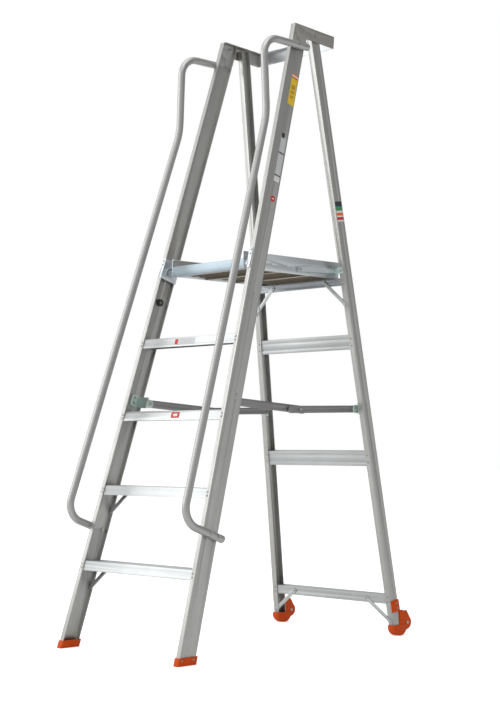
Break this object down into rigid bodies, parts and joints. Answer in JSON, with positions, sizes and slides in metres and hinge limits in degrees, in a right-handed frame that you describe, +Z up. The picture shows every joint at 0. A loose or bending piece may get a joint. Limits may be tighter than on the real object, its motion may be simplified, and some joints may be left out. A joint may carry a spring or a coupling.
{
  "type": "platform step ladder",
  "caption": "Folding step ladder with a hinged standing platform, side handrails, a top guard, spreader bars and wheels on the rear legs.",
  "frame": {"origin": "bottom centre of the bounding box, on the floor", "axes": "+X across the ladder to the right, -Y towards the climbing side, +Z up"},
  "size_m": [0.7316, 1.3447, 2.555],
  "materials": {
    "frame_aluminium": "mill finish",
    "tread_aluminium": "mill finish, serrated",
    "deck_aluminium": "mill finish, ribbed",
    "platform_aluminium": "mill finish",
    "brace_aluminium": "mill finish",
    "spreader_aluminium": "dull",
    "handrail_tube": "fine ribbed grip",
    "rivet": "satin",
    "steel_fastener": "zinc plated",
    "zinc_bracket": "passivated zinc",
    "orange_plastic": "moulded",
    "wheel_rubber": "solid tyre",
    "buffer_rubber": "moulded",
    "plug": "moulded"
  },
  "bodies": {
    "front_frame": {"frame_rivets": "rivet", "front_foot_left": "orange_plastic", "front_foot_right": "orange_plastic", "guard_rear_rail": "frame_aluminium", "guard_side_left": "frame_aluminium", "guard_side_right": "frame_aluminium", "handrail_bolts": "steel_fastener", "handrail_left": "handrail_tube", "handrail_plugs": "plug", "handrail_right": "handrail_tube", "pivot_collar_left": "frame_aluminium", "pivot_collar_right": "frame_aluminium", "platform_pins": "steel_fastener", "spreader_bracket_front_left": "zinc_bracket", "spreader_bracket_front_right": "zinc_bracket", "spreader_pins": "steel_fastener", "stile_left": "frame_aluminium", "stile_right": "frame_aluminium", "stop_buffers": "buffer_rubber", "top_pivot_bolts": "steel_fastener", "tread_1": "tread_aluminium", "tread_2": "tread_aluminium", "tread_3": "tread_aluminium", "tread_4": "tread_aluminium", "tread_braces": "brace_aluminium"},
    "rear_frame": {"link_brackets": "zinc_bracket", "rear_braces_bottom": "brace_aluminium", "rear_braces_upper": "brace_aluminium", "rear_cross_bottom": "frame_aluminium", "rear_cross_upper": "frame_aluminium", "rear_foot_left": "orange_plastic", "rear_foot_right": "orange_plastic", "rear_leg_left": "frame_aluminium", "rear_leg_right": "frame_aluminium", "rear_rivets": "rivet", "rear_rung_lower": "frame_aluminium", "rear_rung_upper": "frame_aluminium", "spreader_bracket_rear_left": "zinc_bracket", "spreader_bracket_rear_right": "zinc_bracket", "wheel_axles": "steel_fastener"},
    "platform": {"deck_plank_1": "deck_aluminium", "deck_plank_2": "deck_aluminium", "deck_plank_3": "deck_aluminium", "hinge_bosses": "frame_aluminium", "link_pins": "steel_fastener", "platform_front_beam": "platform_aluminium", "platform_rear_board": "platform_aluminium", "platform_screws": "steel_fastener", "platform_side_left": "platform_aluminium", "platform_side_right": "platform_aluminium"},
    "link_right": {"platform_link_right": "frame_aluminium"},
    "front_spreader_right": {"spreader_front_bar_right": "spreader_aluminium", "spreader_rivet_right": "steel_fastener"},
    "rear_spreader_right": {"spreader_rear_bar_right": "spreader_aluminium"},
    "wheel_right": {"wheel_right": "wheel_rubber"},
    "link_left": {"platform_link_left": "frame_aluminium"},
    "front_spreader_left": {"spreader_front_bar_left": "spreader_aluminium", "spreader_rivet_left": "steel_fastener"},
    "rear_spreader_left": {"spreader_rear_bar_left": "spreader_aluminium"},
    "wheel_left": {"wheel_left": "wheel_rubber"}
  },
  "joints": [
    {"name": "rear_fold", "type": "hinge", "parent": "front_frame", "child": "rear_frame", "pos_m": [0, 0.21809, 2.521], "axis": [-1, 0, 0], "range_deg": [0, 18.42]},
    {"name": "platform_fold", "type": "hinge", "parent": "front_frame", "child": "platform", "pos_m": [0, -0.1729, 1.528], "axis": [1, 0, 0], "range_deg": [0, 51.57]},
    {"name": "link_turn_right", "type": "hinge", "parent": "platform", "child": "link_right", "pos_m": [0.2215, 0.1211, 1.53], "axis": [1, 0, 0], "range_deg": [-143.35, 0]},
    {"name": "spreader_front_turn_right", "type": "hinge", "parent": "front_frame", "child": "front_spreader_right", "pos_m": [0.257, -0.28197, 0.975], "axis": [1, 0, 0], "range_deg": [0, 72.37]},
    {"name": "spreader_mid_turn_right", "type": "hinge", "parent": "front_spreader_right", "child": "rear_spreader_right", "pos_m": [0.2633, 0.07604, 0.95], "axis": [1, 0, 0], "range_deg": [-153.29, 0]},
    {"name": "wheel_spin_right", "type": "hinge", "parent": "rear_frame", "child": "wheel_right", "pos_m": [0.34145, 0.64109, 0.052], "axis": [1, 0, 0], "continuous": true},
    {"name": "link_turn_left", "type": "hinge", "parent": "platform", "child": "link_left", "pos_m": [-0.2215, 0.1211, 1.53], "axis": [1, 0, 0], "range_deg": [-143.35, 0]},
    {"name": "spreader_front_turn_left", "type": "hinge", "parent": "front_frame", "child": "front_spreader_left", "pos_m": [-0.257, -0.28197, 0.975], "axis": [1, 0, 0], "range_deg": [0, 72.37]},
    {"name": "spreader_mid_turn_left", "type": "hinge", "parent": "front_spreader_left", "child": "rear_spreader_left", "pos_m": [-0.2633, 0.07604, 0.95], "axis": [1, 0, 0], "range_deg": [-153.29, 0]},
    {"name": "wheel_spin_left", "type": "hinge", "parent": "rear_frame", "child": "wheel_left", "pos_m": [-0.34145, 0.64109, 0.052], "axis": [1, 0, 0], "continuous": true}
  ],
  "couplings": [
    {"joint": "platform_fold", "follows": "rear_fold", "ratio": 2.7984},
    {"joint": "link_turn_right", "follows": "rear_fold", "ratio": -7.7813},
    {"joint": "spreader_front_turn_right", "follows": "rear_fold", "ratio": 3.9279},
    {"joint": "spreader_mid_turn_right", "follows": "rear_fold", "ratio": -8.3208},
    {"joint": "link_turn_left", "follows": "rear_fold", "ratio": -7.7813},
    {"joint": "spreader_front_turn_left", "follows": "rear_fold", "ratio": 3.9279},
    {"joint": "spreader_mid_turn_left", "follows": "rear_fold", "ratio": -8.3208}
  ]
}
